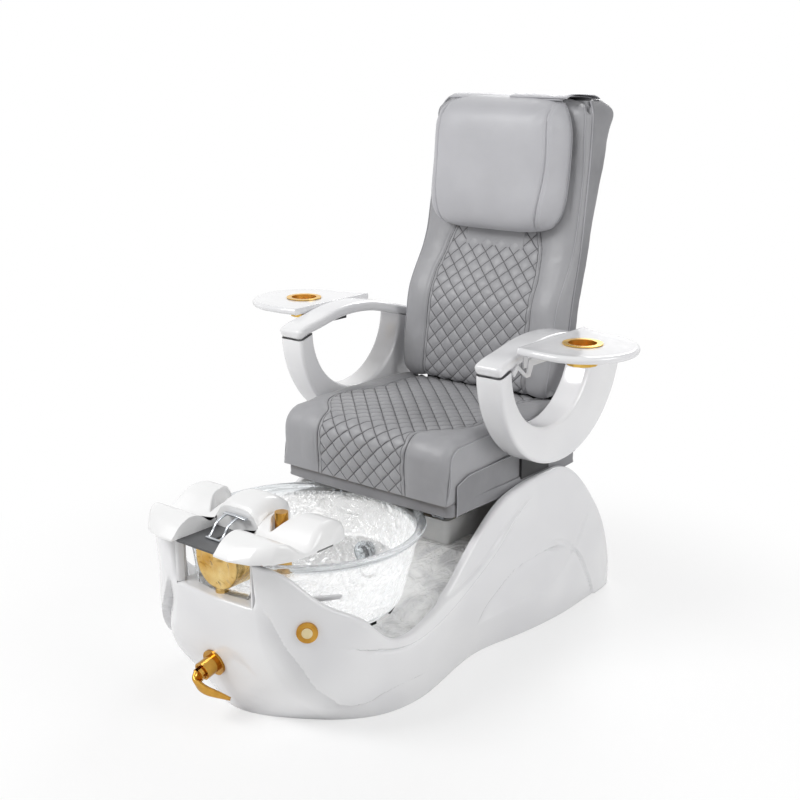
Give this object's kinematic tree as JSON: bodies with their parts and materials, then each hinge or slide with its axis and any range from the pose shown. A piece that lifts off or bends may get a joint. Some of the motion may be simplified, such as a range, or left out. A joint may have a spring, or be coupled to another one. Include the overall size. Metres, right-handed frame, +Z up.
{
  "type": "pedicure spa chair",
  "caption": "Salon pedicure spa chair: reclining grey leather seat on a slide, fold-down trays, moulded white base with clear bowl, footrest, gold spout and mixer.",
  "frame": {"origin": "on the floor, under the middle of the chair's overall box", "axes": "+X to the sitter's left, +Y from the foot bowl to the back, +Z up"},
  "size_m": [1.172, 1.3124, 1.352],
  "materials": {
    "leather_seat": "soft grained grey",
    "leather_light": "soft grained light grey",
    "leather_shell": "grained darker grey",
    "white_gloss": "high gloss white lacquer over moulded fibreglass",
    "crystal": "clear moulded bowl, textured",
    "gold": "polished gold plate",
    "chrome": "mirror polished",
    "painted_steel": "satin black powder coat",
    "bare_steel": "zinc plated",
    "brass_inner": "machined",
    "dark_plate": "satin dark grey",
    "dark_plastic": "moulded",
    "pale_plastic": "moulded",
    "clear_plastic": "clear moulded plastic",
    "black_rubber": "moulded",
    "plywood": "sawn plywood"
  },
  "bodies": {
    "base": {"base_shell": "white_gloss", "rear_door": "white_gloss", "base_frame": "painted_steel", "levelling_feet": "black_rubber", "basin_deck": "white_gloss", "seat_plinth": "pale_plastic", "bowl": "crystal", "bowl_seal": "black_rubber", "drain_flange": "chrome", "drain_trap": "pale_plastic", "jet_housing": "clear_plastic", "jet_cover": "clear_plastic", "jet_motor": "dark_plastic", "slide_rails": "bare_steel", "slide_actuator": "dark_plastic", "spout_body": "gold", "mixer_body": "gold", "air_button_ring": "gold", "air_button_spring": "bare_steel", "water_inlets": "brass_inner", "control_box": "dark_plastic"},
    "seat": {"slide_carriages": "pale_plastic", "slide_rod": "bare_steel", "seat_frame": "painted_steel", "seat_board": "plywood", "seat_cushion": "leather_seat", "seat_skirt": "leather_shell", "arm_loop_left": "white_gloss", "arm_loop_right": "white_gloss", "arm_cap_left": "white_gloss", "arm_cap_right": "white_gloss", "arm_bolts": "bare_steel", "tray_hinge_left": "painted_steel", "tray_hinge_right": "painted_steel", "recline_pins": "bare_steel", "recline_motor": "dark_plastic"},
    "tray_near": {"tray_left": "white_gloss", "cup_left": "gold"},
    "tray_far": {"tray_right": "white_gloss", "cup_right": "gold"},
    "back": {"back_frame": "painted_steel", "back_shell": "leather_shell", "back_cushion": "leather_seat", "massage_motor": "dark_plastic", "headrest_pillow": "leather_light", "headrest_strap": "leather_light"},
    "massage_car": {"massage_carriage": "dark_plastic"},
    "rollers": {"massage_rollers": "pale_plastic"},
    "lead_screw": {"massage_screw": "bare_steel"},
    "foot_post": {"footrest_post": "bare_steel"},
    "footrest": {"footrest_pin": "bare_steel", "footrest_plate": "dark_plate", "footrest_head": "chrome", "footrest_pad": "leather_light"},
    "mixer_turn": {"mixer_stem": "brass_inner"},
    "lever": {"mixer_lever": "gold"},
    "button": {"air_button_cap": "gold"},
    "shower": {"hand_shower": "gold"},
    "stopper": {"drain_stopper": "chrome"},
    "impeller": {"jet_impeller": "dark_plastic"}
  },
  "joints": [
    {"name": "seat_slide", "type": "slide", "parent": "base", "child": "seat", "axis": [0, -1, 0], "range_m": [0, 0.1]},
    {"name": "back_recline", "type": "hinge", "parent": "seat", "child": "back", "pos_m": [0, 0.446, 0.504], "axis": [-1, 0, 0], "range_deg": [0, 30]},
    {"name": "tray_near_fold", "type": "hinge", "parent": "seat", "child": "tray_near", "pos_m": [0.361, 0.17, 0.772], "axis": [0, 1, 0], "range_deg": [0, 90]},
    {"name": "tray_far_fold", "type": "hinge", "parent": "seat", "child": "tray_far", "pos_m": [-0.361, 0.17, 0.772], "axis": [0, -1, 0], "range_deg": [0, 90]},
    {"name": "massage_travel", "type": "slide", "parent": "back", "child": "massage_car", "axis": [0, 0.2008, 0.9796], "range_m": [0, 0.36]},
    {"name": "massage_roll", "type": "hinge", "parent": "massage_car", "child": "rollers", "pos_m": [0, 0.4447, 0.76922], "axis": [1, 0, 0], "continuous": true},
    {"name": "lead_screw_turn", "type": "hinge", "parent": "back", "child": "lead_screw", "pos_m": [0, 0.455, 0.69], "axis": [0, 0.2008, 0.9796], "range_deg": [0, 10800]},
    {"name": "footrest_lift", "type": "slide", "parent": "base", "child": "foot_post", "axis": [0, 0, 1], "range_m": [0, 0.04]},
    {"name": "footrest_tilt", "type": "hinge", "parent": "foot_post", "child": "footrest", "pos_m": [0, -0.548, 0.418], "axis": [1, 0, 0], "range_deg": [-4, 4]},
    {"name": "mixer_swing", "type": "hinge", "parent": "base", "child": "mixer_turn", "pos_m": [-0.028, -0.57853, 0.123], "axis": [-0.0105, -0.9737, -0.2274], "range_deg": [-30, 30]},
    {"name": "mixer_lift", "type": "hinge", "parent": "mixer_turn", "child": "lever", "pos_m": [-0.02848, -0.62332, 0.11254], "axis": [-0.9999, 0.0108, 0], "range_deg": [0, 25]},
    {"name": "air_button_press", "type": "slide", "parent": "base", "child": "button", "axis": [-0.6525, 0.7575, -0.0216], "range_m": [0, 0.004], "stiffness_N_per_m": 600, "springref_m": -0.002},
    {"name": "shower_lift", "type": "slide", "parent": "base", "child": "shower", "axis": [0, 0, 1], "range_m": [0, 0.1]},
    {"name": "stopper_lift", "type": "slide", "parent": "base", "child": "stopper", "axis": [0, 0, 1], "range_m": [0, 0.012]},
    {"name": "impeller_spin", "type": "hinge", "parent": "base", "child": "impeller", "pos_m": [0, -0.04, 0.24], "axis": [0, 1, 0], "continuous": true}
  ],
  "couplings": [
    {"joint": "lead_screw_turn", "follows": "massage_travel", "rad_per_m": 523.6}
  ]
}
